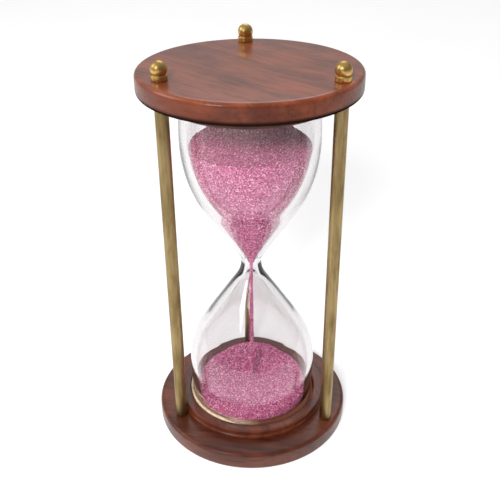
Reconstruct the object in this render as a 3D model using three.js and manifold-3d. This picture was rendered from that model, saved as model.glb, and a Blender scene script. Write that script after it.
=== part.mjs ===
// Hourglass: two turned wooden discs held apart by three brass posts, with a blown double bulb
// of sand standing between turned socket rings. Millimetres, +Z up. The origin is the centre of
// the base disc's underside, and the sand is running from the upper bulb to the lower one.

import * as THREE from 'three';
import { mergeVertices } from 'three/addons/utils/BufferGeometryUtils.js';
import Module from 'manifold-3d';

const wasm = await Module();
wasm.setup();

// Overall sizes
const clearHeight = 170.2;      // between the two discs' inner faces
const bulbRadius = 32.5;        // outside of the glass at its widest
const discThickness = 9.6;
const discEdgeRound = 2;
const discMargin = 6.7;         // from the posts' circle to the disc's edge

// Fits
const seatGap = 0.05;           // between faces that rest on each other
const slideGap = 0.25;          // round what slides into a hole or a socket

// Glass
const neckRadius = 5;
const neckBore = 1.9;
const glassWall = 3.3;
const endWall = 1.6;            // the flat ends of the bulb are thinner than its sides
const upperFlare = 7;           // outer curve from the neck up into the funnel
const upperBoreFlare = 9;       // the same curve inside the glass, where the neck is thick
const upperShoulder = 64;
const lowerFlare = 15;          // the lower bulb has a longer neck and a rounder shoulder
const lowerBoreFlare = 21;
const lowerShoulder = 42;
const barrelHeight = 17;        // from the widest point down to the rounded end
const barrelPull = 0.7;         // the barrel draws in by this much over its height
const endRound = 5;
const neckDrop = 2.3;           // the neck is this far below the glass's middle
const fillHoleRadius = 4;

// Sockets
const padThickness = 2;
const linerThickness = 1.1;
const linerRise = 0.4;          // the liner stands this far above its ring
const ringWall = 4.9;
const ringHeight = 5;
const ringFoot = 0.8;
const ringCove = 0.7;           // depth of the hollow turned round the ring
const ringLip = 1.6;
const ringRound = 0.6;

// Posts, finials and screws
const postRadius = 3;
const postGap = 2;              // from a socket ring to a post
const postChamfer = 0.3;
const tappedDepth = 14;
const studRadius = 1.5;
const studReach = 10;           // of a finial or a screw into its post
const collarRadius = 3.5;
const collarHeight = 2.5;
const collarRound = 0.5;
const ballRadius = 3.6;
const ballSink = 1.5;           // the ball's lowest point is this far inside its collar
const screwHeadRadius = 3.2;
const screwRecess = 0.5;
const slotWidth = 0.9;
const slotDepth = 1;

// Sand
const headspace = 21;           // from the upper sand to the inside of the glass's end
const upperDip = 1.5;
const lowerDepth = 6.9;
const lowerMound = 1;
const streamRadius = 1.2;
const sandGap = 0.1;

const discSegments = 56;
const bulbSegments = 40;
const brassSegments = 16;

// Places worked out from the sizes above
const topDiscBottom = discThickness + clearHeight;
const topDiscTop = topDiscBottom + discThickness;
const glassBottom = discThickness + padThickness + 2 * seatGap;
const glassTop = topDiscBottom - padThickness - 2 * seatGap;
const neckHeight = (glassBottom + glassTop) / 2 - neckDrop;
const footRadius = bulbRadius - barrelPull;
const linerInner = footRadius + slideGap;
const linerOuter = linerInner + linerThickness;
const ringInner = linerOuter + slideGap;
const ringOuter = ringInner + ringWall;
const postCircle = ringOuter + postGap + postRadius;
const discRadius = postCircle + discMargin;
const ballCentre = collarHeight - ballSink + ballRadius;

// The holes are drilled by eye, so the three posts stand a little off equal steps: the angle from
// +X in degrees, and how far outside the posts' circle.
const postPlaces = [['back', 92.5, 0], ['left', 207.4, -1.5], ['right', 329.4, 0.9]].map(
  ([name, degrees, out]) => {
    const angle = THREE.MathUtils.degToRad(degrees);
    const reach = postCircle + out;
    return { name, x: reach * Math.cos(angle), y: reach * Math.sin(angle) };
  },
);

const wood = { color: 0x7d4530, roughness: 0.3, metalness: 0 };
const brass = { color: 0xb5934f, roughness: 0.3, metalness: 1 };
const glass = { color: 0xe6efec, roughness: 0.03, metalness: 0, transparent: true, opacity: 0.3 };
const sand = { color: 0xc96a9c, roughness: 0.9, metalness: 0 };
const cork = { color: 0xdec7a3, roughness: 0.9, metalness: 0 };

// Points of an arc in the radius and height plane, its first point left out.
function arc(centreRadius, centreHeight, size, fromAngle, toAngle, steps) {
  const points = [];
  for (let i = 1; i <= steps; i++) {
    const angle = fromAngle + ((toAngle - fromAngle) * i) / steps;
    points.push([centreRadius + size * Math.cos(angle), centreHeight + size * Math.sin(angle)]);
  }
  return points;
}

// A body turned round +Z from a profile of [radius, height], given upwards along its outside.
function turned(profile, segments) {
  const points = profile.map(([radius, height]) => new THREE.Vector2(Math.max(radius, 0), height));
  return new THREE.LatheGeometry(points, segments).rotateX(Math.PI / 2);
}

function toSolid(geometry) {
  const bare = geometry.clone();
  bare.deleteAttribute('normal');
  bare.deleteAttribute('uv');
  const merged = mergeVertices(bare, 1e-4);
  const vertProperties = new Float32Array(merged.attributes.position.array);
  const triVerts = new Uint32Array(merged.index.array);
  return new wasm.Manifold(new wasm.Mesh({ numProp: 3, vertProperties, triVerts }));
}

function toGeometry(solid) {
  const mesh = solid.getMesh();
  const geometry = new THREE.BufferGeometry();
  geometry.setAttribute('position', new THREE.BufferAttribute(mesh.vertProperties, 3));
  geometry.setIndex(new THREE.BufferAttribute(mesh.triVerts, 1));
  geometry.computeVertexNormals();
  return geometry;
}

function cut(geometry, tools) {
  let solid = toSolid(geometry);
  for (const tool of tools) {
    solid = solid.subtract(toSolid(tool));
  }
  return toGeometry(solid);
}

const hourglass = new THREE.Group();

function addPart(name, geometry, finish, x = 0, y = 0, z = 0) {
  const mesh = new THREE.Mesh(geometry, new THREE.MeshStandardMaterial(finish));
  mesh.name = name;
  mesh.position.set(x, y, z);
  hourglass.add(mesh);
  return mesh;
}

// Discs

function discBlank() {
  const edge = discRadius - discEdgeRound;
  return turned([
    [0, 0],
    [edge, 0],
    ...arc(edge, discEdgeRound, discEdgeRound, -Math.PI / 2, 0, 3),
    [discRadius, discThickness - discEdgeRound],
    ...arc(edge, discThickness - discEdgeRound, discEdgeRound, 0, Math.PI / 2, 3),
    [0, discThickness],
  ], discSegments);
}

// Round the screw, with the countersink opening at the underside.
function screwHole() {
  const shank = studRadius + slideGap;
  const head = screwHeadRadius + slideGap;
  const past = 1;
  return turned([
    [0, -past],
    [head, -past],
    [head, screwRecess],
    [shank, screwRecess + head - shank],
    [shank, discThickness + past],
    [0, discThickness + past],
  ], brassSegments);
}

function studHole() {
  const shank = studRadius + slideGap;
  const past = 1;
  return turned([
    [0, -past],
    [shank, -past],
    [shank, discThickness + past],
    [0, discThickness + past],
  ], brassSegments);
}

function atPosts(makeTool) {
  return postPlaces.map(({ x, y }) => makeTool().translate(x, y, 0));
}

addPart('base_disc', cut(discBlank(), atPosts(screwHole)), wood);
addPart('top_disc', cut(discBlank(), atPosts(studHole)), wood, 0, 0, topDiscBottom);

// Socket rings: a straight foot, a shallow cove and a rounded lip.

function socketRing() {
  const coveBottom = ringFoot;
  const coveTop = ringHeight - ringLip;
  const halfChord = (coveTop - coveBottom) / 2;
  const coveRadius = (halfChord ** 2 + ringCove ** 2) / (2 * ringCove);
  const coveCentre = ringOuter + coveRadius - ringCove;
  const half = Math.asin(halfChord / coveRadius);
  const top = ringHeight - ringRound;
  return turned([
    [ringInner, 0],
    [ringOuter, 0],
    [ringOuter, coveBottom],
    ...arc(coveCentre, (coveBottom + coveTop) / 2, coveRadius, Math.PI + half, Math.PI - half, 3),
    [ringOuter, top],
    ...arc(ringOuter - ringRound, top, ringRound, 0, Math.PI / 2, 2),
    ...arc(ringInner + ringRound, top, ringRound, Math.PI / 2, Math.PI, 2),
    [ringInner, 0],
  ], discSegments);
}

const topSeat = topDiscBottom - seatGap;
const baseSeat = discThickness + seatGap;
addPart('base_socket_ring', socketRing(), wood, 0, 0, baseSeat);
addPart('top_socket_ring', socketRing(), wood, 0, 0, topSeat).rotation.x = Math.PI;

// Seats: a cork disc under each end of the glass, and a strip round it inside the ring.

function seatPad() {
  const radius = linerInner - slideGap;
  return turned([[0, 0], [radius, 0], [radius, padThickness], [0, padThickness]], bulbSegments);
}

function seatLiner() {
  const height = ringHeight + linerRise;
  return turned([
    [linerInner, 0],
    [linerOuter, 0],
    [linerOuter, height],
    [linerInner, height],
    [linerInner, 0],
  ], bulbSegments);
}

addPart('base_seat_pad', seatPad(), cork, 0, 0, baseSeat);
addPart('top_seat_pad', seatPad(), cork, 0, 0, topSeat).rotation.x = Math.PI;
addPart('base_seat_liner', seatLiner(), cork, 0, 0, baseSeat);
addPart('top_seat_liner', seatLiner(), cork, 0, 0, topSeat).rotation.x = Math.PI;

// Glass: each bulb's side runs out from the neck as a flare, a straight funnel, a shoulder,
// a barrel that draws in a little towards the end, and the end's rounded edge.

const barrelRadius = (barrelHeight ** 2 + barrelPull ** 2) / (2 * barrelPull);
const barrelLean = Math.asin(barrelHeight / barrelRadius);

// Points of [radius, distance from the neck] for the surface that lies inset inside the glass's
// outside, from the neck to the flat end that is reach away.
function bulbSide(reach, neck, fullFlare, fullShoulder, inset) {
  const widestAt = reach - endRound * (1 - Math.sin(barrelLean)) - barrelHeight;
  const widest = bulbRadius - inset;
  const width = widest - neck;
  const fullBends = fullFlare + fullShoulder - inset;
  // In a short bulb both bends tighten together, until the funnel just joins them.
  const tighten = Math.min(1, (widestAt ** 2 + width ** 2) / (2 * width * fullBends));
  const flare = fullFlare * tighten;
  const bends = fullBends * tighten;
  const shoulder = bends - flare;
  const rise = width - bends;
  const funnel = Math.sqrt(Math.max(widestAt ** 2 + rise ** 2 - bends ** 2, 0));
  const slope = Math.atan2(rise, widestAt) + Math.atan2(bends, funnel);
  const roundRadius = footRadius - endRound * Math.cos(barrelLean);
  const roundAt = widestAt + barrelHeight - endRound * Math.sin(barrelLean);
  return [
    [neck, 0],
    ...arc(neck + flare, 0, flare, Math.PI, Math.PI - slope, 3),
    [widest - shoulder * (1 - Math.cos(slope)), widestAt - shoulder * Math.sin(slope)],
    ...arc(widest - shoulder, widestAt, shoulder, -slope, 0, 5),
    ...arc(bulbRadius - barrelRadius, widestAt, barrelRadius - inset, 0, barrelLean, 2),
    ...arc(roundRadius, roundAt, endRound - inset, barrelLean, Math.PI / 2, 3),
  ];
}

const lowerReach = neckHeight - glassBottom;
const upperReach = glassTop - neckHeight;

// One bulb's side in the object's heights: side is 1 above the neck and -1 below it. Inside the
// glass it follows the bore's curve, and runs on to the end's thinner wall.
function placedSide(side, neck, inset) {
  const within = inset > 0;
  const onward = within ? glassWall - endWall : 0;
  const reach = (side > 0 ? upperReach : lowerReach) + onward;
  const outerFlare = side > 0 ? upperFlare : lowerFlare;
  const boreFlare = (side > 0 ? upperBoreFlare : lowerBoreFlare) + inset - glassWall;
  const shoulder = side > 0 ? upperShoulder : lowerShoulder;
  const points = bulbSide(reach, neck, within ? boreFlare : outerFlare, shoulder, inset);
  return points.map(([radius, distance]) => [radius, neckHeight + side * distance]);
}

function glassBulb() {
  const outerLower = placedSide(-1, neckRadius, 0).reverse();
  const outerUpper = placedSide(1, neckRadius, 0).slice(1);
  const innerUpper = placedSide(1, neckBore, glassWall).reverse();
  const innerLower = placedSide(-1, neckBore, glassWall).slice(1);
  return turned([
    [0, glassBottom],
    ...outerLower,
    ...outerUpper,
    [fillHoleRadius, glassTop],
    [fillHoleRadius, glassTop - endWall],
    ...innerUpper,
    ...innerLower,
    [0, glassBottom + endWall],
  ], bulbSegments);
}

addPart('glass_bulb', glassBulb(), glass);

// A tapered stopper in the fill hole, flush with the end of the glass.
function fillCork() {
  const radius = fillHoleRadius - slideGap;
  const taper = 0.5;
  const tail = 2;
  return turned([
    [0, glassTop - endWall - tail],
    [radius - taper, glassTop - endWall - tail],
    [radius, glassTop - endWall],
    [radius, glassTop - seatGap],
    [0, glassTop - seatGap],
  ], bulbSegments);
}

addPart('fill_cork', fillCork(), cork);

// Sand: it fills the glass up to a level, and lies sandGap inside it.

const sandInset = glassWall + sandGap;
const upperLevel = glassTop - endWall - headspace;
const lowerLevel = glassBottom + endWall + lowerDepth;

// The part of an upward profile below a level, with a last point on the level itself.
function clipped(profile, level) {
  const kept = profile.filter(([, height]) => height < level);
  const [lowRadius, lowHeight] = kept[kept.length - 1];
  const [highRadius, highHeight] = profile[kept.length];
  const share = (level - lowHeight) / (highHeight - lowHeight);
  return [...kept, [lowRadius + (highRadius - lowRadius) * share, level]];
}

function sandSide(side) {
  return placedSide(side, neckBore - sandGap, sandInset);
}

function upperSand() {
  const side = clipped(sandSide(1), upperLevel);
  return turned([[0, neckHeight], ...side, [0, upperLevel - upperDip]], bulbSegments);
}

function lowerSand() {
  const side = clipped(sandSide(-1).reverse(), lowerLevel);
  return turned([
    [0, glassBottom + endWall + sandGap],
    ...side,
    [0, lowerLevel + lowerMound],
  ], bulbSegments);
}

function sandStream() {
  const bottom = lowerLevel + lowerMound + sandGap;
  const top = neckHeight - sandGap;
  return turned([[0, bottom], [streamRadius, bottom], [streamRadius, top], [0, top]], brassSegments);
}

addPart('sand_upper', upperSand(), sand);
addPart('sand_stream', sandStream(), sand);
addPart('sand_lower', lowerSand(), sand);

// Posts: round bars between the discs, tapped at both ends.

function post() {
  const length = clearHeight - 2 * seatGap;
  const tapped = studRadius + slideGap / 2;
  return turned([
    [0, tappedDepth],
    [tapped, tappedDepth],
    [tapped, 0],
    [postRadius - postChamfer, 0],
    [postRadius, postChamfer],
    [postRadius, length - postChamfer],
    [postRadius - postChamfer, length],
    [tapped, length],
    [tapped, length - tappedDepth],
    [0, length - tappedDepth],
  ], brassSegments);
}

// A ball on a collar, turned in one piece with the stud that runs down through the top disc.
function finial() {
  const studEnd = -(discThickness + studReach);
  const meetRadius = Math.sqrt(ballRadius ** 2 - (ballRadius - ballSink) ** 2);
  const meetAngle = -Math.acos(meetRadius / ballRadius);
  return turned([
    [0, studEnd],
    [studRadius, studEnd],
    [studRadius, 0],
    [collarRadius - collarRound, 0],
    ...arc(collarRadius - collarRound, collarRound, collarRound, -Math.PI / 2, 0, 2),
    [collarRadius, collarHeight - collarRound],
    ...arc(collarRadius - collarRound, collarHeight - collarRound, collarRound, 0, Math.PI / 2, 2),
    [meetRadius, collarHeight],
    ...arc(0, ballCentre, ballRadius, meetAngle, Math.PI / 2, 5),
  ], brassSegments);
}

// A slotted countersunk screw, its head downwards.
function baseScrew() {
  const headTop = screwRecess + screwHeadRadius - studRadius;
  const tip = discThickness + studReach;
  const body = turned([
    [0, screwRecess],
    [screwHeadRadius, screwRecess],
    [studRadius, headTop],
    [studRadius, tip],
    [0, tip],
  ], brassSegments);
  const slot = new THREE.BoxGeometry(3 * screwHeadRadius, slotWidth, 2 * slotDepth);
  return cut(body, [slot.translate(0, 0, screwRecess)]);
}

for (const { name, x, y } of postPlaces) {
  addPart(`post_${name}`, post(), brass, x, y, baseSeat);
  addPart(`finial_${name}`, finial(), brass, x, y, topDiscTop + seatGap);
  addPart(`base_screw_${name}`, baseScrew(), brass, x, y, 0);
}

export default hourglass;
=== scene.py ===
import math

import bmesh
import bpy
from mathutils import Euler, Matrix, Vector, noise


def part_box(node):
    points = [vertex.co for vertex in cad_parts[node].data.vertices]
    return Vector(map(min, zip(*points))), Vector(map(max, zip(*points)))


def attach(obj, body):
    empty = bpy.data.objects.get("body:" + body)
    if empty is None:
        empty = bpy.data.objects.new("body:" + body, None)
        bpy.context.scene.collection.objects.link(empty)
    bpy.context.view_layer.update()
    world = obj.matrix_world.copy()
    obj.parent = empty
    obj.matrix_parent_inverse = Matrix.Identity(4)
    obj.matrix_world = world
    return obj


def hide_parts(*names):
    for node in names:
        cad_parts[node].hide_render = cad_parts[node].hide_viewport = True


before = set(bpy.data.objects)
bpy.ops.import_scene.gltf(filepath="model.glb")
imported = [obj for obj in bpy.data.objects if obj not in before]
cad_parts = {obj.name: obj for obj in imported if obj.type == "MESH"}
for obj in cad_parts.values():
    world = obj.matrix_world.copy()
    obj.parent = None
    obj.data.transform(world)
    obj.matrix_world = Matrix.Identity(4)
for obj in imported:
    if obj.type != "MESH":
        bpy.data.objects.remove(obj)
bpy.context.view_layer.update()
mm = 0.001
places = ("back", "left", "right")
print("frame loaded:", len(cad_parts), "nodes")


# helpers for meshes

def arc(centreRadius, centreHeight, size, fromDegrees, toDegrees, steps):
    points = []
    for i in range(steps + 1):
        angle = math.radians(fromDegrees + (toDegrees - fromDegrees) * i / steps)
        points.append((centreRadius + size * math.cos(angle), centreHeight + size * math.sin(angle)))
    return points


def bridgeRings(bm, pairs, steps):
    # a ring of one vertex is a pole, and its faces are triangles
    for low, high in pairs:
        for i in range(steps):
            j = (i + 1) % steps
            corners = [low[i % len(low)], low[j % len(low)], high[j % len(high)], high[i % len(high)]]
            corners = list(dict.fromkeys(corners))
            if len(corners) > 2:
                bm.faces.new(corners)


def turnProfile(profile, steps, wobble=None):
    # profile is (radius, height) in metres; a point on the axis becomes one vertex, so poles are closed
    bm = bmesh.new()
    rings = []
    for radius, height in profile:
        if radius < 1e-7:
            rings.append([bm.verts.new((0, 0, height))])
            continue
        ring = []
        for i in range(steps):
            angle = 2 * math.pi * i / steps
            r = radius + (wobble(angle, height) if wobble else 0)
            ring.append(bm.verts.new((r * math.cos(angle), r * math.sin(angle), height)))
        rings.append(ring)
    closed = len(rings[0]) > 1 or len(rings[-1]) > 1
    pairs = list(zip(rings, rings[1:])) + ([(rings[-1], rings[0])] if closed else [])
    bridgeRings(bm, pairs, steps)
    return bm


def finishMesh(bm, name, material, sharpDegrees=35):
    bmesh.ops.remove_doubles(bm, verts=bm.verts, dist=1e-7)
    bmesh.ops.recalc_face_normals(bm, faces=bm.faces)
    mesh = bpy.data.meshes.new(name)
    bm.to_mesh(mesh)
    bm.free()
    mesh.polygons.foreach_set("use_smooth", [True] * len(mesh.polygons))
    mesh.set_sharp_from_angle(angle=math.radians(sharpDegrees))
    mesh.materials.append(material)
    piece = bpy.data.objects.new(name, mesh)
    bpy.context.scene.collection.objects.link(piece)
    return piece


def bakeModifiers(piece):
    # what the modifiers make becomes the piece's own mesh
    graph = bpy.context.evaluated_depsgraph_get()
    mesh = bpy.data.meshes.new_from_object(piece.evaluated_get(graph))
    piece.modifiers.clear()
    old = piece.data
    piece.data = mesh
    bpy.data.meshes.remove(old)
    mesh.name = piece.name


def cutAway(piece, cutter):
    cut = piece.modifiers.new("cut", "BOOLEAN")
    cut.object = cutter
    cut.operation = "DIFFERENCE"
    cut.solver = "EXACT"
    bakeModifiers(piece)
    bpy.data.objects.remove(cutter)


def settle(piece, slot, *nodes):
    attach(piece, "root")
    if nodes:
        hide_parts(*nodes)
    return piece


# helpers for node trees

def addNode(tree, kind, inputs=None, **settings):
    node = tree.nodes.new(kind)
    for key, value in settings.items():
        setattr(node, key, value)
    for key, value in (inputs or {}).items():
        socket = node.inputs[key]
        if isinstance(value, bpy.types.NodeSocket):
            tree.links.new(value, socket)
        else:
            socket.default_value = value
    return node


def startMaterial(name, **shader):
    material = bpy.data.materials.new(name)
    material.use_nodes = True
    tree = material.node_tree
    tree.nodes.clear()
    bsdf = addNode(tree, "ShaderNodeBsdfPrincipled")
    for key, value in shader.items():
        bsdf.inputs[key].default_value = value
    output = addNode(tree, "ShaderNodeOutputMaterial")
    tree.links.new(bsdf.outputs["BSDF"], output.inputs["Surface"])
    return material, tree, bsdf


def colour(red, green, blue):
    # sRGB 0-255 to the linear colour that a socket holds
    def linear(c):
        c /= 255
        return c / 12.92 if c <= 0.04045 else ((c + 0.055) / 1.055) ** 2.4
    return (linear(red), linear(green), linear(blue), 1)


def ramp(tree, factor, stops):
    node = addNode(tree, "ShaderNodeValToRGB", {"Fac": factor})
    elements = node.color_ramp.elements
    while len(elements) < len(stops):
        elements.new(0.5)
    for element, (position, value) in zip(elements, stops):
        element.position = position
        element.color = value if isinstance(value, tuple) else (value, value, value, 1)
    return node.outputs["Color"]


def objectPoints(tree, scale=(1, 1, 1), turn=(0, 0, 0), shift=(0, 0, 0)):
    place = addNode(tree, "ShaderNodeTexCoord").outputs["Object"]
    if any(turn):
        place = addNode(tree, "ShaderNodeMapping", {"Vector": place, "Rotation": turn}).outputs["Vector"]
    mapping = addNode(tree, "ShaderNodeMapping", {"Vector": place, "Scale": scale, "Location": shift})
    return mapping.outputs["Vector"]


def noiseOf(tree, vector, scale, detail=3, roughness=0.55, distortion=0):
    return addNode(tree, "ShaderNodeTexNoise", {
        "Vector": vector, "Scale": scale, "Detail": detail,
        "Roughness": roughness, "Distortion": distortion}).outputs["Fac"]


def maths(tree, operation, first, second=0.0, third=None):
    node = addNode(tree, "ShaderNodeMath", {0: first, 1: second}, operation=operation)
    if third is not None:
        node.inputs[2].default_value = third
    return node.outputs[0]


def blendColours(tree, factor, first, second, mode="MIX"):
    # sockets 6 and 7, and output 2, are the ones for colours
    node = addNode(tree, "ShaderNodeMix", {0: factor, 6: first, 7: second},
                   data_type="RGBA", blend_type=mode)
    return node.outputs[2]


def addBump(tree, bsdf, height, strength, distance):
    bump = addNode(tree, "ShaderNodeBump", {
        "Height": height, "Strength": strength, "Distance": distance})
    tree.links.new(bump.outputs["Normal"], bsdf.inputs["Normal"])


# camera, floor and light

view = {  # angles in degrees, lens and sensor in mm
    "place": (0, -319.5 * mm, 280.65 * mm), "down": 29.47, "turn": 0.095, "roll": -0.52,
    "lens": 53.75, "sensor": 36,
}


def placeCamera():
    data = bpy.data.cameras.new("viewCamera")
    data.lens = view["lens"]
    data.sensor_width = view["sensor"]
    data.clip_start = 0.01
    camera = bpy.data.objects.new("viewCamera", data)
    aim = Euler((math.radians(90 - view["down"]), 0, math.radians(view["turn"]))).to_matrix().to_4x4()
    roll = Matrix.Rotation(math.radians(view["roll"]), 4, "Z")
    camera.matrix_world = Matrix.Translation(view["place"]) @ aim @ roll
    bpy.context.scene.collection.objects.link(camera)
    bpy.context.scene.camera = camera


studio = {
    "floorSize": 8, "floorTone": (0.62, 0.62, 0.62, 1), "floorGlow": 0.54,
    "bouncedGlow": 0.2, "nearGlow": 0.1,
    "floorPatch": (0.64, 0.64, 0.64, 1), "backdrop": (0.93, 0.93, 0.93, 1),
    "nearFrom": -0.12, "nearTo": -0.28, "aim": (0, 0, 0.09),
    # how bright the room is in each direction
    "back": 0.85, "front": 0.3, "side": 0.4, "above": 1.0, "sky": 0.45,
    # name, place, size, watts; the key stays out of reflections, and the card is there for them
    "lights": (
        ("keyLight", (-0.28, -1.16, 0.84), 0.26, 18),
        ("cardLight", (-0.75, -1.00, 0.95), 0.40, 5),
        ("leftLight", (-1.10, 0.10, 0.80), 0.60, 3),
        ("rearLight", (0.10, 1.30, 1.30), 0.90, 4)),
}


def lightStudio():
    scene = bpy.context.scene
    scene.view_settings.view_transform = "Standard"
    world = bpy.data.worlds.new("studioRoom")
    world.use_nodes = True
    tree = world.node_tree
    sky = tree.nodes["Background"]
    towards = addNode(tree, "ShaderNodeTexCoord").outputs["Generated"]
    parts = addNode(tree, "ShaderNodeSeparateXYZ", {"Vector": towards})
    depth = ramp(tree, maths(tree, "MULTIPLY_ADD", parts.outputs["Y"], 0.5, 0.5), [
        (0.0, studio["front"]), (0.45, studio["side"]), (0.8, studio["back"])])
    height = ramp(tree, parts.outputs["Z"], [(0.45, 0.0), (0.85, 1.0)])
    room = blendColours(tree, height, depth, (studio["above"],) * 3 + (1,))
    walls = ramp(tree, noiseOf(tree, towards, 2.2, 1), [(0.4, 0.8), (0.6, 1.05)])
    tree.links.new(blendColours(tree, 1.0, room, walls, "MULTIPLY"), sky.inputs["Color"])
    sky.inputs["Strength"].default_value = studio["sky"]
    # the eye sees pale paper behind the floor, and all else sees the room
    paper = addNode(tree, "ShaderNodeBackground", {"Color": studio["backdrop"], "Strength": 1.0})
    looking = addNode(tree, "ShaderNodeLightPath").outputs["Is Camera Ray"]
    both = addNode(tree, "ShaderNodeMixShader", {0: looking, 1: sky.outputs[0], 2: paper.outputs[0]})
    tree.links.new(both.outputs[0], tree.nodes["World Output"].inputs["Surface"])
    scene.world = world
    middle = Vector(studio["aim"])
    for name, place, size, watts in studio["lights"]:
        data = bpy.data.lights.new(name, "AREA")
        data.size = size
        data.energy = watts
        lamp = bpy.data.objects.new(name, data)
        lamp.location = place
        lamp.visible_glossy = name != "keyLight"
        lamp.rotation_euler = (middle - Vector(place)).to_track_quat("-Z", "Y").to_euler()
        scene.collection.objects.link(lamp)


def layFloor():
    half = studio["floorSize"] / 2
    mesh = bpy.data.meshes.new("studioFloor")
    corners = [(-half, -half, 0), (half, -half, 0), (half, half, 0), (-half, half, 0)]
    mesh.from_pydata(corners, [], [(0, 1, 2, 3)])
    material, tree, bsdf = startMaterial("palePaper", **{
        "Roughness": 0.9, "Specular IOR Level": 0.2, "Emission Color": (1, 1, 1, 1)})
    # the glow is for the eye and for the glass, and less of it lights the wood and the sand
    path = addNode(tree, "ShaderNodeLightPath")
    glow = addNode(tree, "ShaderNodeMapRange", {
        "Value": path.outputs["Is Diffuse Ray"],
        "To Min": studio["floorGlow"], "To Max": studio["bouncedGlow"]})
    # the near part of the floor glows less in reflections, so that it doesn't veil the glass
    place = addNode(tree, "ShaderNodeSeparateXYZ", {"Vector": objectPoints(tree)})
    near = addNode(tree, "ShaderNodeMapRange", {
        "Value": place.outputs["Y"], "From Min": studio["nearTo"], "From Max": studio["nearFrom"],
        "To Min": 1, "To Max": 0})
    dull = maths(tree, "MULTIPLY", near.outputs["Result"], path.outputs["Is Glossy Ray"])
    kept = addNode(tree, "ShaderNodeMapRange", {"Value": dull, "To Min": 1, "To Max": studio["nearGlow"]})
    strength = maths(tree, "MULTIPLY", glow.outputs["Result"], kept.outputs["Result"])
    tree.links.new(strength, bsdf.inputs["Emission Strength"])
    mottle = noiseOf(tree, objectPoints(tree), 6, 4)
    shade = ramp(tree, mottle, [(0.3, studio["floorTone"]), (0.7, studio["floorPatch"])])
    tree.links.new(shade, bsdf.inputs["Base Color"])
    mesh.materials.append(material)
    floor = bpy.data.objects.new("studioFloor", mesh)
    bpy.context.scene.collection.objects.link(floor)


placeCamera()
lightStudio()
layFloor()
print("camera, floor and lights are set")


# finishes

rosewood = {
    "dark": colour(84, 36, 22), "middle": colour(124, 62, 40), "light": colour(150, 82, 52),
    "across": 46, "along": 6, "lines": 8, "pore": 900, "poreLength": 70, "poreDepth": 0.08 * mm,
    "sheen": 0.22, "coat": 0.45, "patch": 40, "flecks": 0.4,
}
# painted light and shade on the top disc: a dark lower edge, a darker side face and a lighter top face; the
# coat numbers belong to the finish itself
topDiscPaintedLightShadeAndCoat = {  # heights over the disc's underside
    "dark": colour(46, 25, 19), "darkTo": 1.5 * mm, "unshadedFrom": 2.7 * mm,
    "faceTo": 7.8 * mm, "topFrom": 9.4 * mm,
    "faceCoat": 0.22, "topCoat": 0.85, "paintedSideShade": 0.66, "paintedTopLight": 1.18,
}


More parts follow.
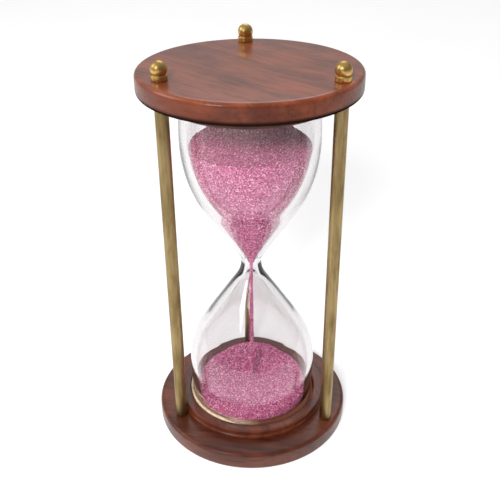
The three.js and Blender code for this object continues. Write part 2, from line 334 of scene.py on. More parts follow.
def makeRosewood(name, turn, shift, tint, contrast, polish, edgeLow=None):
    wood = rosewood
    material, tree, bsdf = startMaterial(name, **{
        "Specular IOR Level": wood["sheen"], "Coat Weight": wood["coat"],
        "Coat Roughness": polish, "Coat IOR": 1.5})
    turned = (0, 0, math.radians(turn))
    grain = objectPoints(tree, (wood["along"], wood["across"], wood["across"]), turned, shift)
    figure = noiseOf(tree, grain, 1, 3, 0.5, 0.35)
    bands = noiseOf(tree, grain, 2.7, 4, 0.6, 0.2)
    rings = maths(tree, "PINGPONG", maths(tree, "MULTIPLY", figure, wood["lines"]), 0.5)
    body = ramp(tree, bands, [(0.30, wood["dark"]), (0.5, wood["middle"]), (0.70, wood["light"])])
    lines = ramp(tree, rings, [(0.0, 0.55), (0.16, 0.95), (0.5, 1.0)])
    calm = blendColours(tree, contrast, wood["middle"], body)
    shaded = blendColours(tree, 0.8 * contrast, calm, lines, "MULTIPLY")
    poreMap = objectPoints(tree, (wood["poreLength"], wood["pore"], wood["pore"]), turned, shift)
    pores = ramp(tree, noiseOf(tree, poreMap, 1, 2), [(0.34, 0.5), (0.46, 1.0)])
    flecked = blendColours(tree, wood["flecks"], shaded, pores, "MULTIPLY")
    patches = ramp(tree, noiseOf(tree, objectPoints(tree, shift=shift), wood["patch"], 3), [
        (0.34, (0.70, 0.62, 0.60, 1)), (0.52, (1, 1, 1, 1)), (0.68, (1.26, 1.20, 1.02, 1))])
    mottled = blendColours(tree, 1.0, flecked, patches, "MULTIPLY")
    finished = blendColours(tree, 1.0, mottled, tint, "MULTIPLY")
    if edgeLow is not None:
        # painted shade: the lower edge is painted dark, and its coat and sheen are turned down there
        edge = topDiscPaintedLightShadeAndCoat
        place = addNode(tree, "ShaderNodeSeparateXYZ", {
            "Vector": addNode(tree, "ShaderNodeTexCoord").outputs["Object"]})
        up = addNode(tree, "ShaderNodeMapRange", {
            "Value": place.outputs["Z"],
            "From Min": edgeLow + edge["darkTo"], "From Max": edgeLow + edge["unshadedFrom"]})
        finished = blendColours(tree, up.outputs["Result"], edge["dark"], finished)
        face = addNode(tree, "ShaderNodeMapRange", {
            "Value": place.outputs["Z"],
            "From Min": edgeLow + edge["faceTo"], "From Max": edgeLow + edge["topFrom"],
            "To Min": edge["faceCoat"], "To Max": edge["topCoat"]})
        # painted shade and painted light: the side face is painted darker and the top face lighter
        paintedTopLightSideShade = addNode(tree, "ShaderNodeMapRange", {
            "Value": face.outputs["Result"], "From Min": edge["faceCoat"], "From Max": edge["topCoat"],
            "To Min": edge["paintedSideShade"], "To Max": edge["paintedTopLight"]})
        finished = blendColours(tree, 1.0, finished, paintedTopLightSideShade.outputs["Result"], "MULTIPLY")
        coat = maths(tree, "MULTIPLY", up.outputs["Result"], face.outputs["Result"])
        tree.links.new(coat, bsdf.inputs["Coat Weight"])
        sheen = maths(tree, "MULTIPLY", up.outputs["Result"], wood["sheen"])
        tree.links.new(sheen, bsdf.inputs["Specular IOR Level"])
    tree.links.new(finished, bsdf.inputs["Base Color"])
    rough = addNode(tree, "ShaderNodeMapRange", {"Value": pores, "To Min": 0.6, "To Max": 0.38})
    tree.links.new(rough.outputs["Result"], bsdf.inputs["Roughness"])
    addBump(tree, bsdf, pores, 0.15, wood["poreDepth"])
    return material


brass = {"stains": 210, "stainStretch": (1, 1, 0.22), "drawn": (1500, 1500, 18), "scratch": 0.05 * mm}


def makeBrass(name, light, dark, roughness, patina, brushed):
    material, tree, bsdf = startMaterial(name, Metallic=1.0, Roughness=roughness)
    stains = noiseOf(tree, objectPoints(tree, brass["stainStretch"]), brass["stains"], 5, 0.6)
    tone = ramp(tree, stains, [(0.35, dark), (0.6, light)])
    drawn = noiseOf(tree, objectPoints(tree, brass["drawn"]), 1, 3)
    streaks = ramp(tree, drawn, [(0.3, 0.7), (0.7, 1.0)])
    base = blendColours(tree, brushed, tone, streaks, "MULTIPLY")
    tree.links.new(base, bsdf.inputs["Base Color"])
    rough = addNode(tree, "ShaderNodeMapRange", {
        "Value": stains, "From Min": 0.3, "From Max": 0.7,
        "To Min": roughness + patina, "To Max": roughness})
    tree.links.new(rough.outputs["Result"], bsdf.inputs["Roughness"])
    addBump(tree, bsdf, drawn, 0.06, brass["scratch"])
    return material


# the second colour is painted onto the glass where it is seen edge-on, as painted shade on its rims
clear = {
    "index": 1.5, "middle": (0.985, 0.985, 0.985, 1), "paintedRimShade": (0.62, 0.57, 0.58, 1),
    "body": (0.5, 0.42, 0.44, 1), "density": 38.0, "ripple": 45, "rippleDepth": 0.25 * mm,
}


def makeGlass():
    material, tree, bsdf = startMaterial("clearBlownGlass", **{
        "Roughness": 0.0, "IOR": clear["index"], "Transmission Weight": 1.0})
    ripple = noiseOf(tree, objectPoints(tree, (1, 1, 0.5)), clear["ripple"], 2)
    addBump(tree, bsdf, ripple, 0.25, clear["rippleDepth"])
    # painted shade: the glass gets a darker colour where it is seen edge-on, which darkens its rims
    facing = addNode(tree, "ShaderNodeLayerWeight", {"Blend": 0.35}).outputs["Facing"]
    paintedRimShade = ramp(tree, facing, [(0.45, clear["middle"]), (1.0, clear["paintedRimShade"])])
    tree.links.new(paintedRimShade, bsdf.inputs["Base Color"])
    smoke = addNode(tree, "ShaderNodeVolumeAbsorption", {
        "Color": clear["body"], "Density": clear["density"]})
    output = next(n for n in tree.nodes if n.type == "OUTPUT_MATERIAL")
    tree.links.new(smoke.outputs["Volume"], output.inputs["Volume"])
    return material


sandTones = [  # share of the grains, tone
    (0.00, colour(74, 14, 42)), (0.20, colour(146, 48, 94)), (0.48, colour(188, 86, 134)),
    (0.80, colour(208, 122, 160)), (0.97, colour(246, 202, 220))]


def makeSandBody():
    material, tree, bsdf = startMaterial("pinkSandMass", Roughness=0.85)
    cells = addNode(tree, "ShaderNodeTexVoronoi", {
        "Vector": objectPoints(tree), "Scale": 2700, "Randomness": 1.0})
    tone = ramp(tree, addNode(tree, "ShaderNodeSeparateColor", {
        "Color": cells.outputs["Color"]}).outputs[0], sandTones)
    tree.links.new(tone, bsdf.inputs["Base Color"])
    addBump(tree, bsdf, cells.outputs["Distance"], 0.5, 0.25 * mm)
    return material


def makeSandGrain():
    material, tree, bsdf = startMaterial("pinkSandGrain", Roughness=0.5)
    tone = addNode(tree, "ShaderNodeAttribute", attribute_name="grainTone").outputs["Fac"]
    frost = noiseOf(tree, objectPoints(tree), 5200, 2)
    mixed = maths(tree, "ADD", tone, maths(tree, "MULTIPLY", maths(tree, "SUBTRACT", frost, 0.5), 0.3))
    tree.links.new(ramp(tree, mixed, sandTones), bsdf.inputs["Base Color"])
    return material


cork = {
    "cells": 900, "mottle": 700,
    # a dark brown painted over the right side of the strip, as painted shade
    "paintedShade": colour(112, 68, 50), "paintedShadeFrom": -10 * mm, "paintedShadeOver": 14 * mm,
}


def makeCork(name, shadedRight):
    material, tree, bsdf = startMaterial(name, Roughness=0.9)
    cells = addNode(tree, "ShaderNodeTexVoronoi", {"Vector": objectPoints(tree), "Scale": cork["cells"]})
    tone = ramp(tree, noiseOf(tree, objectPoints(tree), cork["mottle"], 4), [
        (0.35, colour(204, 176, 144)), (0.5, colour(226, 204, 172)), (0.7, colour(240, 222, 194))])
    if shadedRight:
        # painted shade: the strip is painted dark brown towards its right side, where it sits down in the
        # gap
        place = addNode(tree, "ShaderNodeSeparateXYZ", {"Vector": objectPoints(tree)})
        paintedShade = addNode(tree, "ShaderNodeMapRange", {
            "Value": place.outputs["X"],
            "From Min": cork["paintedShadeFrom"], "From Max": cork["paintedShadeFrom"] + cork["paintedShadeOver"]})
        tone = blendColours(tree, paintedShade.outputs["Result"], tone, cork["paintedShade"])
    tree.links.new(tone, bsdf.inputs["Base Color"])
    addBump(tree, bsdf, cells.outputs["Distance"], 0.15, 0.1 * mm)
    return material


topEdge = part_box("top_disc")[0].z
topWood = makeRosewood("rosewoodTop", 44, (1.3, 0.4, 2.1), (1.0, 0.95, 0.9, 1), 0.6, 0.14, topEdge)
baseWood = makeRosewood("rosewoodBase", 12, (4.2, 3.3, 0.7), (0.55, 0.58, 0.66, 1), 0.9, 0.3)
ringWood = makeRosewood("rosewoodRing", 70, (7.7, 1.9, 5.0), (0.55, 0.5, 0.5, 1), 0.9, 0.22)
postBrass = makeBrass("satinBrass", colour(174, 151, 106), colour(138, 115, 74), 0.36, 0.12, 0.8)
ballBrass = makeBrass("polishedBrass", colour(232, 192, 118), colour(204, 164, 98), 0.34, 0.1, 0.35)
clearGlass = makeGlass()
sandBody = makeSandBody()
sandGrain = makeSandGrain()
paleCork = makeCork("paleCork", False)
linerCork = makeCork("stainedCork", True)
print("finishes are made")


# discs

disc = {"edgeRound": 2.0 * mm, "steps": 192, "roundSteps": 10}
screw = {
    "headRadius": 3.2 * mm, "shank": 1.5 * mm, "clear": 0.25 * mm, "recess": 0.5 * mm,
    "edge": 0.15 * mm, "tip": 0.3 * mm, "steps": 48,
    "slotWidth": 0.9 * mm, "slotDepth": 1.0 * mm, "bladeLength": 12 * mm,
}
postSpots = [(sum(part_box("post_" + place), Vector()) / 2).to_2d() for place in places]


def discProfile(low, high):
    size = disc["edgeRound"]
    edge = high.x - size
    return [
        (0, low.z),
        *arc(edge, low.z + size, size, -90, 0, disc["roundSteps"]),
        *arc(edge, high.z - size, size, 0, 90, disc["roundSteps"]),
        (0, high.z),
    ]


def makeDisc(node, name, material):
    low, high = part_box(node)
    bm = turnProfile(discProfile(low, high), disc["steps"])
    return finishMesh(bm, name, material, 40)


def sinkScrewHoles(piece, low, high):
    # countersunk from below, one under each post
    head = screw["headRadius"] + screw["clear"]
    shank = screw["shank"] + screw["clear"]
    tool = [
        (0, low.z - mm), (head, low.z - mm), (head, low.z + screw["recess"]),
        (shank, low.z + screw["recess"] + head - shank), (shank, high.z + mm), (0, high.z + mm)]
    cutters = bmesh.new()
    for spot in postSpots:
        single = turnProfile(tool, screw["steps"])
        bmesh.ops.translate(single, verts=single.verts, vec=(spot.x, spot.y, 0))
        bmesh.ops.recalc_face_normals(single, faces=single.faces)
        scratch = bpy.data.meshes.new("scratch")
        single.to_mesh(scratch)
        single.free()
        cutters.from_mesh(scratch)
        bpy.data.meshes.remove(scratch)
    cutter = finishMesh(cutters, "screwHoleCutter", piece.data.materials[0])
    cutAway(piece, cutter)
    piece.data.set_sharp_from_angle(angle=math.radians(35))


topDisc = makeDisc("top_disc", "topDisc", topWood)
baseDisc = makeDisc("base_disc", "baseDisc", baseWood)
sinkScrewHoles(baseDisc, *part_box("base_disc"))
settle(topDisc, "rosewood", "top_disc")
settle(baseDisc, "rosewood", "base_disc")
print("discs are turned")


# socket rings and seats

ring = {
    "wall": 4.9 * mm, "foot": 0.8 * mm, "cove": 0.7 * mm, "lip": 1.6 * mm, "round": 0.6 * mm,
    "steps": 192,
}
seat = {
    "soft": 0.25 * mm, "clear": 0.25 * mm, "padSteps": 96, "linerSteps": 160, "fray": 0.06 * mm,
    "sink": 3.4 * mm, "sinkFrom": -16 * mm, "sinkOver": 22 * mm,
}


def ringProfile(outer, height):
    inner = outer - ring["wall"]
    size = ring["round"]
    coveLow, coveHigh = ring["foot"], height - ring["lip"]
    half = (coveHigh - coveLow) / 2
    coveRadius = (half ** 2 + ring["cove"] ** 2) / (2 * ring["cove"])
    spread = math.degrees(math.asin(half / coveRadius))
    coveCentre = outer + coveRadius - ring["cove"]
    return [
        (inner, 0), (outer, 0),
        *arc(coveCentre, (coveLow + coveHigh) / 2, coveRadius, 180 + spread, 180 - spread, 10),
        *arc(outer - size, height - size, size, 0, 90, 6),
        *arc(inner + size, height - size, size, 90, 180, 6),
    ]


def standing(profile, low, high, upsideDown):
    return [(r, high.z - h if upsideDown else low.z + h) for r, h in profile]


def makeRing(node, name, upsideDown):
    low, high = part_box(node)
    profile = standing(ringProfile(high.x, high.z - low.z), low, high, upsideDown)
    piece = finishMesh(turnProfile(profile, ring["steps"]), name, ringWood, 30)
    return settle(piece, "rosewood", node)


def frayed(angle, height):
    place = Vector((9 * math.cos(angle), 9 * math.sin(angle), 600 * height))
    return seat["fray"] * noise.noise(place)


def makePad(node, name, upsideDown):
    low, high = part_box(node)
    soft, radius, thick = seat["soft"], high.x, high.z - low.z
    shape = [
        (0, 0), *arc(radius - soft, soft, soft, -90, 0, 3),
        *arc(radius - soft, thick - soft, soft, 0, 90, 3), (0, thick)]
    bm = turnProfile(standing(shape, low, high, upsideDown), seat["padSteps"])
    settle(finishMesh(bm, name, linerCork), "cork", node)


def makeLiner(node, name, inner, upsideDown):
    low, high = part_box(node)
    soft, outer, tall = seat["soft"], high.x, high.z - low.z
    shape = [
        (inner, 0), (outer, 0), *arc(outer - soft, tall - soft, soft, 0, 90, 3),
        *arc(inner + soft, tall - soft, soft, 90, 180, 3)]
    bm = turnProfile(standing(shape, low, high, upsideDown), seat["linerSteps"], frayed)
    middle = (low.z + high.z) / 2
    away = 1 if upsideDown else -1
    for vert in bm.verts:
        # the strip was cut by hand: it stands proud on the left and stays below the ring on the right
        free = (vert.co.z < middle) if upsideDown else (vert.co.z > middle)
        lean = max(0, min(1, (vert.co.x - seat["sinkFrom"]) / seat["sinkOver"]))
        if free:
            vert.co.z += away * seat["sink"] * lean
    settle(finishMesh(bm, name, linerCork), "cork", node)


def makeSeat(padNode, linerNode, name, upsideDown):
    makePad(padNode, name + "Pad", upsideDown)
    makeLiner(linerNode, name + "Liner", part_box(padNode)[1].x + seat["clear"], upsideDown)


makeRing("base_socket_ring", "baseSocketRing", False)
makeRing("top_socket_ring", "topSocketRing", True)
makeSeat("base_seat_pad", "base_seat_liner", "baseSeat", False)
makeSeat("top_seat_pad", "top_seat_liner", "topSeat", True)
print("rings and seats are made")


# glass

bulb = {
    "wall": 3.3 * mm, "endWall": 1.6 * mm, "neckRadius": 5 * mm, "neckBore": 1.9 * mm,
    "upperFlare": 7 * mm, "upperBoreFlare": 9 * mm, "upperShoulder": 64 * mm,
    "lowerFlare": 15 * mm, "lowerBoreFlare": 21 * mm, "lowerShoulder": 42 * mm,
    "barrelHeight": 17 * mm, "barrelPull": 0.7 * mm, "endRound": 5 * mm,
    "neckDrop": 2.3 * mm, "fillHole": 4 * mm, "steps": 160,
    "wobble": 0.09 * mm, "calmNeck": 15 * mm, "outsideSeed": 3.0, "insideSeed": 11.0,
}
glassLow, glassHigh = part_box("glass_bulb")
neckHeight = (glassLow.z + glassHigh.z) / 2 - bulb["neckDrop"]
bulbRadius = glassHigh.x


def bulbSide(reach, neck, flare, shoulder, inset):
    # (radius, distance from the neck) of the surface that lies inset inside the glass's outside
    pull = bulb["barrelPull"]
    barrel = (bulb["barrelHeight"] ** 2 + pull ** 2) / (2 * pull)
    lean = math.asin(bulb["barrelHeight"] / barrel)
    widestAt = reach - bulb["endRound"] * (1 - math.sin(lean)) - bulb["barrelHeight"]
    widest = bulbRadius - inset
    shoulder -= inset
    bends = flare + shoulder
    rise = widest - neck - bends
    funnel = math.sqrt(widestAt ** 2 + rise ** 2 - bends ** 2)
    slope = math.degrees(math.atan2(rise, widestAt) + math.atan2(bends, funnel))
    roundRadius = bulbRadius - pull - bulb["endRound"] * math.cos(lean)
    roundAt = widestAt + bulb["barrelHeight"] - bulb["endRound"] * math.sin(lean)
    leanDegrees = math.degrees(lean)
    flareEnd = arc(neck + flare, 0, flare, 180, 180 - slope, 14)
    shoulderPart = arc(widest - shoulder, widestAt, shoulder, -slope, 0, 16)
    (r0, d0), (r1, d1) = flareEnd[-1], shoulderPart[0]
    cone = [(r0 + (r1 - r0) * i / 8, d0 + (d1 - d0) * i / 8) for i in range(1, 8)]
    return [
        *flareEnd, *cone, *shoulderPart,
        *arc(bulbRadius - barrel, widestAt, barrel - inset, 0, leanDegrees, 8)[1:],
        *arc(roundRadius, roundAt, bulb["endRound"] - inset, leanDegrees, 90, 8)[1:],
    ]


def placedSide(side, neck, inset):
    which = "upper" if side > 0 else "lower"
    reach = glassHigh.z - neckHeight if side > 0 else neckHeight - glassLow.z
    flare = bulb[which + "Flare"]
    if inset > 0:
        reach += bulb["wall"] - bulb["endWall"]  # the ends are thinner than the sides
        flare = bulb[which + "BoreFlare"] + inset - bulb["wall"]
    points = bulbSide(reach, neck, flare, bulb[which + "Shoulder"], inset)
    return [(r, neckHeight + side * d) for r, d in points]


def blownWobble(seed):
    # glass worked by hand is never quite round
    def wobble(angle, height):
        p = Vector((1.1 * math.cos(angle), 1.1 * math.sin(angle), 26 * height + seed))
        q = Vector((2.4 * math.cos(angle), 2.4 * math.sin(angle), 60 * height - seed))
        fade = min(1, abs(height - neckHeight) / bulb["calmNeck"])
        return bulb["wobble"] * fade * (0.7 * noise.noise(p) + 0.3 * noise.noise(q))
    return wobble


def makeBulb():
    outer = placedSide(-1, bulb["neckRadius"], 0)[::-1]
    outer += placedSide(1, bulb["neckRadius"], 0)[1:]
    inner = placedSide(1, bulb["neckBore"], bulb["wall"])[::-1]
    inner += placedSide(-1, bulb["neckBore"], bulb["wall"])[1:]
    hole = bulb["fillHole"]
    profile = [
        (0, glassLow.z), *outer, (hole, glassHigh.z), (hole, glassHigh.z - bulb["endWall"]),
        *inner, (0, glassLow.z + bulb["endWall"])]
    outsideCount = len(outer) + 2
    bm = turnProfile(profile, bulb["steps"])
    outside, inside = blownWobble(bulb["outsideSeed"]), blownWobble(bulb["insideSeed"])
    bm.verts.ensure_lookup_table()
    row = 1
    for index in range(1, len(profile) - 1):
        wobble = outside if index < outsideCount else inside
        for i in range(bulb["steps"]):
            vert = bm.verts[row + i]
            radius = vert.co.to_2d().length
            grown = 1 + wobble(math.atan2(vert.co.y, vert.co.x), vert.co.z) / radius
            vert.co.x *= grown
            vert.co.y *= grown
        row += bulb["steps"]
    piece = finishMesh(bm, "glassBulb", clearGlass, 60)
    piece.visible_shadow = False  # lamps light the sand inside as if through air
    piece.visible_diffuse = False
    return settle(piece, "glass", "glass_bulb")


stopper = {"taper": 0.5 * mm, "round": 0.2 * mm, "steps": 64}


def makeStopper():
    low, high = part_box("fill_cork")
    radius, size = high.x, stopper["round"]
    profile = [
        (0, low.z), *arc(radius - stopper["taper"] - size, low.z + size, size, -90, 0, 3),
        (radius, (low.z + high.z) / 2), *arc(radius - size, high.z - size, size, 0, 90, 3), (0, high.z)]
    settle(finishMesh(turnProfile(profile, stopper["steps"]), "fillStopper", paleCork), "cork", "fill_cork")


makeBulb()
makeStopper()
print("glass is blown")


# sand

sand = {
    "inset": 0.45 * mm, "steps": 120, "topRings": 26, "relief": 0.35 * mm, "clear": 0.1 * mm,
    "upperDip": 1.2 * mm, "dipRadius": 22 * mm, "mound": 1.0 * mm, "moundRadius": 28 * mm,
    "crater": 1.4 * mm, "craterRadius": 10 * mm, "craterX": -2 * mm, "craterY": 1 * mm,
    "lumps": 170, "ripples": 520, "upperSeed": 1.5, "lowerSeed": 6.5,
    "grain": 0.42 * mm, "upperDensity": 1.15e6, "lowerDensity": 2.4e6,
}


def heap(name, profile, heightAt, closeAt):
    # side rings from the closed end to the rim, then the open surface ring by ring to its middle
    rimRadius = profile[-1][0]
    bm = bmesh.new()
    steps = sand["steps"]
    rows = [[bm.verts.new((0, 0, closeAt))]]
    around = [(math.cos(2 * math.pi * i / steps), math.sin(2 * math.pi * i / steps)) for i in range(steps)]
    for radius, height in profile[:-1]:
        rows.append([bm.verts.new((radius * c, radius * s, height)) for c, s in around])
    for k in range(sand["topRings"], 0, -1):
        radius = rimRadius * k / sand["topRings"]
        spots = [(radius * c, radius * s) for c, s in around]
        rows.append([bm.verts.new((x, y, heightAt(x, y))) for x, y in spots])
    rows.append([bm.verts.new((0, 0, heightAt(0, 0)))])
    bridgeRings(bm, zip(rows, rows[1:]), steps)
    return finishMesh(bm, name, sandBody, 50)


def clipped(profile, level):
    kept = [p for p in profile if p[1] < level]
    (r0, h0), (r1, h1) = kept[-1], profile[len(kept)]
    return kept + [(r0 + (r1 - r0) * (level - h0) / (h1 - h0), level)]


def loose(x, y, seed):
    p = Vector((x * sand["lumps"], y * sand["lumps"], seed))
    q = Vector((x * sand["ripples"], y * sand["ripples"], seed + 7))
    return sand["relief"] * (noise.noise(p) + 0.4 * noise.noise(q))


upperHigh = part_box("sand_upper")[1]
lowerLow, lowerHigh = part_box("sand_lower")
upperRim = upperHigh.z - sand["inset"]
lowerRim = lowerHigh.z - sand["mound"] - sand["inset"]


def upperSurface(x, y):
    dip = sand["upperDip"] * max(0, 1 - math.hypot(x, y) / sand["dipRadius"])
    return upperRim - dip + loose(x, y, sand["upperSeed"])


def lowerSurface(x, y):
    fromCrater = (x - sand["craterX"]) ** 2 + (y - sand["craterY"]) ** 2
    crater = sand["crater"] * math.exp(-fromCrater / sand["craterRadius"] ** 2)
    mound = sand["mound"] * (1 - (x * x + y * y) / sand["moundRadius"] ** 2)
    return lowerRim + mound - crater + loose(x, y, sand["lowerSeed"])


boreInset = sand["clear"] + sand["inset"]
inset = bulb["wall"] + boreInset
upperSide = placedSide(1, bulb["neckBore"] - boreInset, inset)
lowerSide = placedSide(-1, bulb["neckBore"] - boreInset, inset)[::-1]
upperSand = heap("sandUpper", clipped(upperSide, upperRim), upperSurface, neckHeight)
lowerSand = heap("sandLower", clipped(lowerSide, lowerRim), lowerSurface, lowerLow.z)
settle(upperSand, "sand", "sand_upper")
settle(lowerSand, "sand", "sand_lower")


def inputOf(modifier, name):
    # a modifier's input is set by its socket's identifier
    for item in modifier.node_group.interface.items_tree:
        if item.item_type == "SOCKET" and item.in_out == "INPUT" and item.name == name:
            return item.identifier
    raise KeyError(name)


def applyTree(piece, tree, settings):
    modifier = piece.modifiers.new(tree.name, "NODES")
    modifier.node_group = tree
    for label, value in settings.items():
        modifier[inputOf(modifier, label)] = value
    piece.data.update()
    bakeModifiers(piece)


def startTree(name, sockets):
    tree = bpy.data.node_groups.new(name, "GeometryNodeTree")
    tree.interface.new_socket("Geometry", in_out="INPUT", socket_type="NodeSocketGeometry")
    for label, kind, default in sockets:
        socket = tree.interface.new_socket(label, in_out="INPUT", socket_type=kind)
        if default is not None:
            socket.default_value = default
    tree.interface.new_socket("Geometry", in_out="OUTPUT", socket_type="NodeSocketGeometry")
    return tree, tree.nodes.new("NodeGroupInput"), tree.nodes.new("NodeGroupOutput")


def randomVector(tree, low, high, seed):
    node = addNode(tree, "FunctionNodeRandomValue", {"Seed": seed}, data_type="FLOAT_VECTOR")
    node.inputs["Min"].default_value = (low,) * 3
    node.inputs["Max"].default_value = (high,) * 3
    return node.outputs["Value"]


def randomNumber(tree, low, high, seed):
    node = addNode(tree, "FunctionNodeRandomValue", {"Seed": seed}, data_type="FLOAT")
    node.inputs[2].default_value = low
    node.inputs[3].default_value = high
    return node.outputs[1]


def makeReal(tree, copies, material, result):
    whole = addNode(tree, "GeometryNodeRealizeInstances", {"Geometry": copies})
    finish = addNode(tree, "GeometryNodeSetMaterial", {
        "Geometry": whole.outputs["Geometry"], "Material": material})
    tree.links.new(finish.outputs["Geometry"], result.inputs["Geometry"])


def finishGrains(tree, grains, tone, material, result):
    # each grain keeps its own tone, and all of them become one mesh
    store = addNode(tree, "GeometryNodeStoreNamedAttribute", {
        "Geometry": grains.outputs["Instances"], "Name": "grainTone", "Value": tone},
        data_type="FLOAT", domain="INSTANCE")
    makeReal(tree, store.outputs["Geometry"], material, result)


def grainsOnSurface():
    # grains scattered over a sand surface, each with its own size, turn and tone
    tree, given, result = startTree("grainsOnSurface", [
        ("Density", "NodeSocketFloat", 1.0e6), ("Grain", "NodeSocketFloat", 0.3 * mm),
        ("Seed", "NodeSocketInt", 1), ("Material", "NodeSocketMaterial", None)])
    scatter = addNode(tree, "GeometryNodeDistributePointsOnFaces", {
        "Mesh": given.outputs["Geometry"], "Density": given.outputs["Density"],
        "Seed": given.outputs["Seed"]})
    side = addNode(tree, "ShaderNodeCombineXYZ", {
        "X": given.outputs["Grain"], "Y": given.outputs["Grain"], "Z": given.outputs["Grain"]})
    cube = addNode(tree, "GeometryNodeMeshCube", {"Size": side.outputs[0]})
    turn = randomVector(tree, 0, 6.28, given.outputs["Seed"])
    size = randomVector(tree, 0.65, 1.25, given.outputs["Seed"])
    grains = addNode(tree, "GeometryNodeInstanceOnPoints", {
        "Points": scatter.outputs["Points"], "Instance": cube.outputs["Mesh"],
        "Rotation": turn, "Scale": size})
    tone = randomNumber(tree, 0, 1, given.outputs["Seed"])
    finishGrains(tree, grains, tone, given.outputs["Material"], result)
    return tree


def fallingGrains():
    # grains along a falling thread, which spreads a little as it drops
    tree, given, result = startTree("fallingGrains", [
        ("Count", "NodeSocketInt", 400), ("Top", "NodeSocketFloat", 0.09),
        ("Bottom", "NodeSocketFloat", 0.02), ("Spread", "NodeSocketFloat", 1.0 * mm),
        ("Grain", "NodeSocketFloat", 0.3 * mm), ("Material", "NodeSocketMaterial", None)])
    points = addNode(tree, "GeometryNodePoints", {"Count": given.outputs["Count"]})
    drop = randomNumber(tree, 0, 1, 11)
    around = randomNumber(tree, 0, 6.2832, 12)
    out = maths(tree, "POWER", randomNumber(tree, 0, 1, 13), 0.5)
    reach = maths(tree, "MULTIPLY", given.outputs["Spread"], out)
    widening = maths(tree, "ADD", 0.55, maths(tree, "MULTIPLY", drop, 0.45))
    reach = maths(tree, "MULTIPLY", reach, widening)
    fall = maths(tree, "SUBTRACT", given.outputs["Top"], given.outputs["Bottom"])
    height = maths(tree, "SUBTRACT", given.outputs["Top"], maths(tree, "MULTIPLY", fall, drop))
    spot = addNode(tree, "ShaderNodeCombineXYZ", {
        "X": maths(tree, "MULTIPLY", reach, maths(tree, "COSINE", around)),
        "Y": maths(tree, "MULTIPLY", reach, maths(tree, "SINE", around)), "Z": height})
    placed = addNode(tree, "GeometryNodeSetPosition", {
        "Geometry": points.outputs[0], "Position": spot.outputs[0]})
    ball = addNode(tree, "GeometryNodeMeshIcoSphere", {
        "Radius": given.outputs["Grain"], "Subdivisions": 1})
    grains = addNode(tree, "GeometryNodeInstanceOnPoints", {
        "Points": placed.outputs["Geometry"], "Instance": ball.outputs["Mesh"],
        "Rotation": randomVector(tree, 0, 6.28, 14)})
    tone = randomNumber(tree, 0, 1, 15)
    finishGrains(tree, grains, tone, given.outputs["Material"], result)
    return tree


def pourGrains(name, source, tree, settings):
    piece = bpy.data.objects.new(name, source.copy())
    bpy.context.scene.collection.objects.link(piece)
    applyTree(piece, tree, settings)
    settle(piece, "sand")


scatterTree = grainsOnSurface()
pourGrains("sandUpperGrains", upperSand.data, scatterTree, {
    "Density": sand["upperDensity"], "Grain": sand["grain"], "Seed": 4, "Material": sandGrain})
pourGrains("sandLowerGrains", lowerSand.data, scatterTree, {
    "Density": sand["lowerDensity"], "Grain": sand["grain"], "Seed": 9, "Material": sandGrain})

stream = {
    "radius": 0.6 * mm, "ragged": 0.22 * mm, "rows": 60, "steps": 16,
    "spread": 1.35 * mm, "grains": 3200, "grain": 0.21 * mm,
}
streamLow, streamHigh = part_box("sand_stream")


def raggedStream(angle, height):
    return stream["ragged"] * noise.noise(Vector((math.cos(angle), math.sin(angle), height * 900)))


def makeStream():
    tall = streamHigh.z - streamLow.z
    side = []
    for i in range(stream["rows"] + 1):
        share = i / stream["rows"]
        radius = stream["radius"] * (1.15 - 0.3 * math.sin(math.pi * share))
        side.append((radius, streamLow.z + tall * share))
    profile = [(0, streamLow.z), *side, (0, streamHigh.z)]
    bm = turnProfile(profile, stream["steps"], raggedStream)
    piece = finishMesh(bm, "sandStream", sandBody, 60)
    settle(piece, "sand", "sand_stream")
    pourGrains("sandStreamGrains", piece.data, fallingGrains(), {
        "Count": stream["grains"], "Top": streamHigh.z, "Bottom": streamLow.z,
        "Spread": stream["spread"], "Grain": stream["grain"], "Material": sandGrain})


makeStream()
print("sand is poured")


# posts, finials and screws

post = {"chamfer": 0.4 * mm, "tapped": 1.62 * mm, "tappedDepth": 14 * mm, "rows": 20, "steps": 64}
finial = {
    "collarRadius": 3.5 * mm, "collarHeight": 2.5 * mm, "collarRound": 0.4 * mm,
    "ballRadius": 3.6 * mm, "ballSink": 1.5 * mm, "stud": 1.5 * mm, "steps": 72,
}


def postProfile(low, high):
    radius = (high.x - low.x) / 2
    size = post["chamfer"]
    bore, depth = post["tapped"], post["tappedDepth"]
    return [
        (0, low.z + depth), (bore, low.z + depth), (bore, low.z),
        *arc(radius - size, low.z + size, size, -90, 0, 4),
        *[(radius, low.z + (high.z - low.z) * i / post["rows"]) for i in range(1, post["rows"])],
        *arc(radius - size, high.z - size, size, 0, 90, 4),
        (bore, high.z), (bore, high.z - depth), (0, high.z - depth)]


def finialProfile(low, high):
    ball = finial["ballRadius"]
    centre = high.z - ball
    collarTop = centre - ball + finial["ballSink"]
    collarFoot = collarTop - finial["collarHeight"]
    wide, size = finial["collarRadius"], finial["collarRound"]
    meet = -math.degrees(math.asin((centre - collarTop) / ball))
    return [
        (0, low.z), (finial["stud"], low.z), (finial["stud"], collarFoot),
        *arc(wide - size, collarFoot + size, size, -90, 0, 5),
        *arc(wide - size, collarTop - size, size, 0, 90, 5),
        *arc(0, centre, ball, meet, 90, 30)]


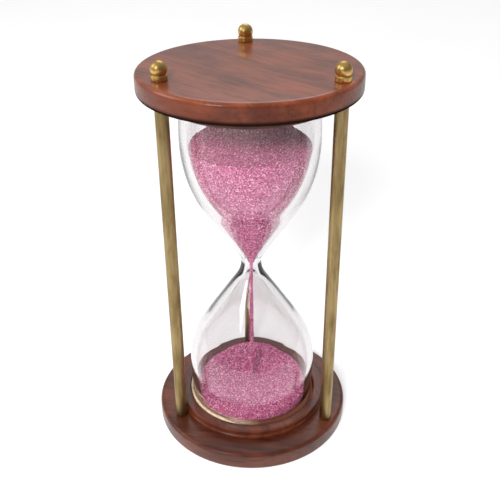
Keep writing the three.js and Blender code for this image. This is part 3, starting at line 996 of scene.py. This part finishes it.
def screwProfile(low, high):
    head, shank = screw["headRadius"], screw["shank"]
    edge, tip = screw["edge"], screw["tip"]
    return [
        (0, low.z), (head - edge, low.z), (head, low.z + edge), (shank, low.z + head - shank),
        (shank, high.z - tip), (shank - tip, high.z), (0, high.z)]


def standOnSpots():
    # one turned piece is copied to each drilled spot; the spots come in as loose points
    tree, given, result = startTree("standOnSpots", [
        ("Piece", "NodeSocketObject", None), ("Material", "NodeSocketMaterial", None)])
    single = addNode(tree, "GeometryNodeObjectInfo", {"Object": given.outputs["Piece"]})
    copies = addNode(tree, "GeometryNodeInstanceOnPoints", {
        "Points": given.outputs["Geometry"], "Instance": single.outputs["Geometry"]})
    makeReal(tree, copies.outputs["Instances"], given.outputs["Material"], result)
    return tree


spotTree = standOnSpots()


def slotted(piece):
    # the blade stands half in the head, so it is twice as tall as the slot is deep
    size = (screw["bladeLength"], screw["slotWidth"], 2 * screw["slotDepth"], 1)
    blade = bmesh.new()
    bmesh.ops.create_cube(blade, size=1, matrix=Matrix.Diagonal(size))
    bmesh.ops.translate(blade, verts=blade.verts, vec=(0, 0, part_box("base_screw_back")[0].z))
    cutAway(piece, finishMesh(blade, "slotCutter", ballBrass))


def makeSet(name, nodePrefix, profileOf, steps, material, slotName, extra=None):
    low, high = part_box(nodePrefix + "back")
    single = finishMesh(turnProfile(profileOf(low, high), steps), name + "Single", material, 35)
    if extra:
        extra(single)
    spots = bpy.data.meshes.new(name)
    spots.from_pydata([(spot.x, spot.y, 0) for spot in postSpots], [], [])
    piece = bpy.data.objects.new(name, spots)
    bpy.context.scene.collection.objects.link(piece)
    applyTree(piece, spotTree, {"Piece": single, "Material": material})
    bpy.data.objects.remove(single)
    piece.data.polygons.foreach_set("use_smooth", [True] * len(piece.data.polygons))
    piece.data.set_sharp_from_angle(angle=math.radians(35))
    settle(piece, slotName, *[nodePrefix + place for place in places])


makeSet("brassPosts", "post_", postProfile, post["steps"], postBrass, "satin_brass")
makeSet("ballFinials", "finial_", finialProfile, finial["steps"], ballBrass, "polished_brass")
makeSet("baseScrews", "base_screw_", screwProfile, screw["steps"], ballBrass, "polished_brass", slotted)
print("posts, finials and screws are fitted")
